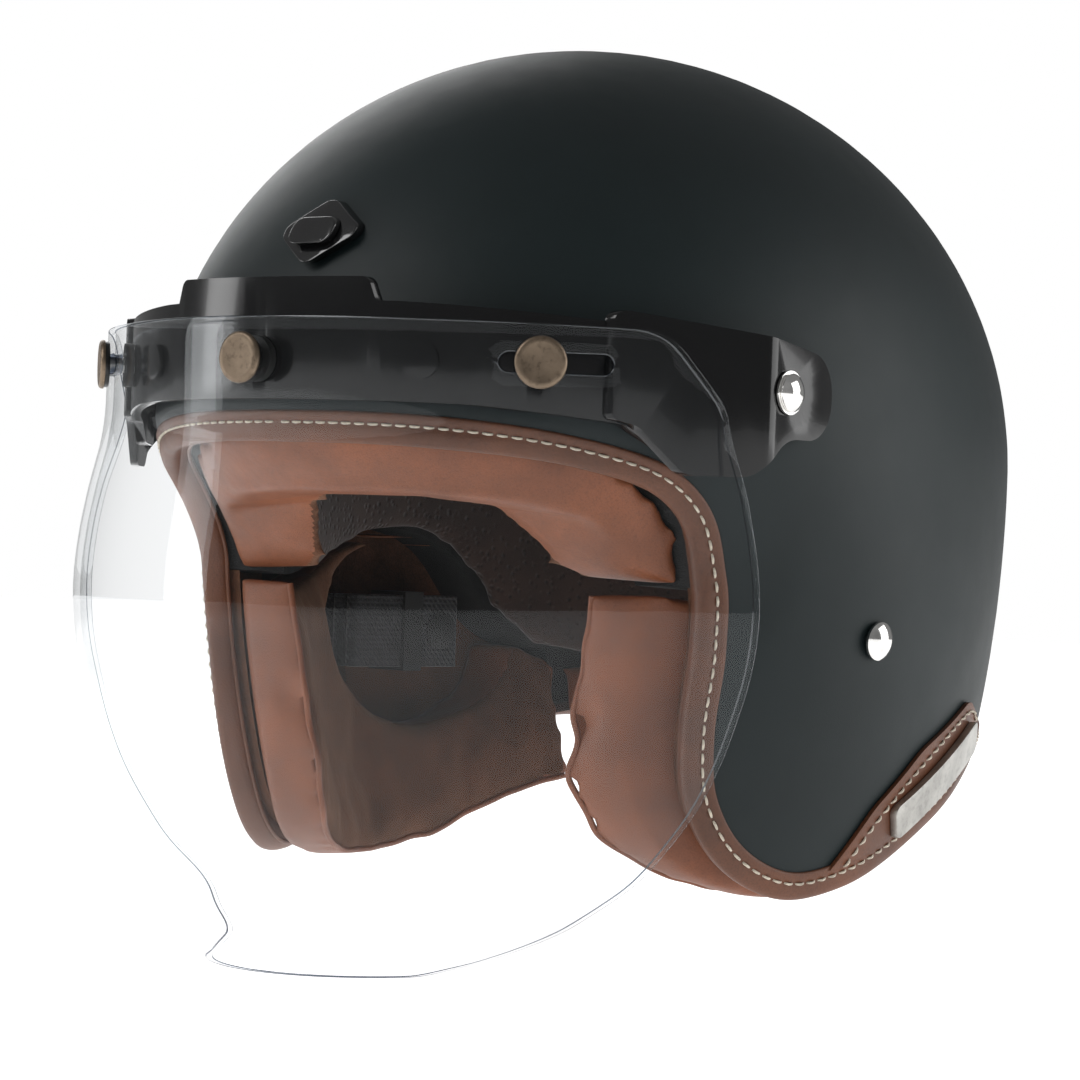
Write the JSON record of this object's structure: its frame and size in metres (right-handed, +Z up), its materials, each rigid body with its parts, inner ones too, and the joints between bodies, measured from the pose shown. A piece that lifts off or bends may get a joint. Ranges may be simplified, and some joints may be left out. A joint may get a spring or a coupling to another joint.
{
  "type": "open face motorcycle helmet",
  "caption": "Open face motorcycle helmet with leather edging, padded lining, a clear bubble shield on a flip-up band and a stowed chin strap.",
  "frame": {"origin": "centre of the head space, on the symmetry plane and level with the shell's widest line", "axes": "+X to the wearer's left, -Y to the front, +Z up"},
  "size_m": [0.2596, 0.3176, 0.2811],
  "materials": {
    "shell_paint": "matte",
    "foam": "matte",
    "liner_fabric": "matte",
    "brow_leather": "satin",
    "pad_leather": "satin",
    "edge_leather": "satin",
    "band_black": "gloss",
    "emblem_gloss": "gloss",
    "clear_shield": "polished",
    "cap_bronze": "satin",
    "badge_metal": "satin",
    "chrome_metal": "polished",
    "steel": "satin",
    "webbing": "matte",
    "keeper_rubber": "matte"
  },
  "bodies": {
    "helmet": {"outer_shell": "shell_paint", "foam_liner": "foam", "cheek_core_left": "foam", "cheek_core_right": "foam", "crown_liner": "liner_fabric", "neck_roll": "liner_fabric", "neck_skirt": "liner_fabric", "brow_pad": "brow_leather", "cheek_pad_left": "pad_leather", "cheek_pad_right": "pad_leather", "rim_trim": "edge_leather", "side_patch_left": "edge_leather", "side_patch_right": "edge_leather", "pivot_bush_left": "band_black", "pivot_bush_right": "band_black", "emblem_base": "emblem_gloss", "emblem_boss": "emblem_gloss", "badge_left": "badge_metal", "badge_right": "badge_metal", "pivot_rivet_left": "chrome_metal", "pivot_rivet_right": "chrome_metal", "pivot_washer_left": "chrome_metal", "pivot_washer_right": "chrome_metal", "strap_rivet_left": "chrome_metal", "strap_rivet_right": "chrome_metal", "strap_anchor_left": "steel", "strap_anchor_right": "steel", "chin_strap_left": "webbing", "chin_strap_right": "webbing", "strap_keeper": "keeper_rubber", "strap_snap": "keeper_rubber"},
    "visor": {"visor_band": "band_black", "band_ear_left": "band_black", "band_ear_right": "band_black", "visor_bubble": "clear_shield", "band_button_left": "band_black", "band_button_right": "band_black", "snap_stud_left": "steel", "snap_stud_centre": "steel", "snap_stud_right": "steel", "snap_spacer_left": "band_black", "snap_spacer_centre": "band_black", "snap_spacer_right": "band_black"},
    "cap_left": {"snap_cap_left": "cap_bronze"},
    "cap_centre": {"snap_cap_centre": "cap_bronze"},
    "cap_right": {"snap_cap_right": "cap_bronze"},
    "ring_outer": {"d_ring_outer": "chrome_metal"},
    "ring_inner": {"d_ring_inner": "chrome_metal"}
  },
  "joints": [
    {"name": "visor_flip", "type": "hinge", "parent": "helmet", "child": "visor", "pos_m": [0, -0.07, 0.019], "axis": [-1, 0, 0], "range_deg": [0, 50]},
    {"name": "cap_left_turn", "type": "hinge", "parent": "visor", "child": "cap_left", "pos_m": [0.08331, -0.13552, 0.024], "axis": [0.6691, -0.7431, 0], "continuous": true},
    {"name": "cap_centre_turn", "type": "hinge", "parent": "visor", "child": "cap_centre", "pos_m": [0, -0.1665, 0.024], "axis": [0, -1, 0], "continuous": true},
    {"name": "cap_right_turn", "type": "hinge", "parent": "visor", "child": "cap_right", "pos_m": [-0.08331, -0.13552, 0.024], "axis": [-0.6691, -0.7431, 0], "continuous": true},
    {"name": "ring_outer_swing", "type": "hinge", "parent": "helmet", "child": "ring_outer", "pos_m": [0.095, 0.034, -0.057], "axis": [0, 0, -1], "range_deg": [0, 14]},
    {"name": "ring_inner_swing", "type": "hinge", "parent": "helmet", "child": "ring_inner", "pos_m": [0.0917, 0.034, -0.057], "axis": [0, 0, 1], "range_deg": [0, 60]}
  ]
}
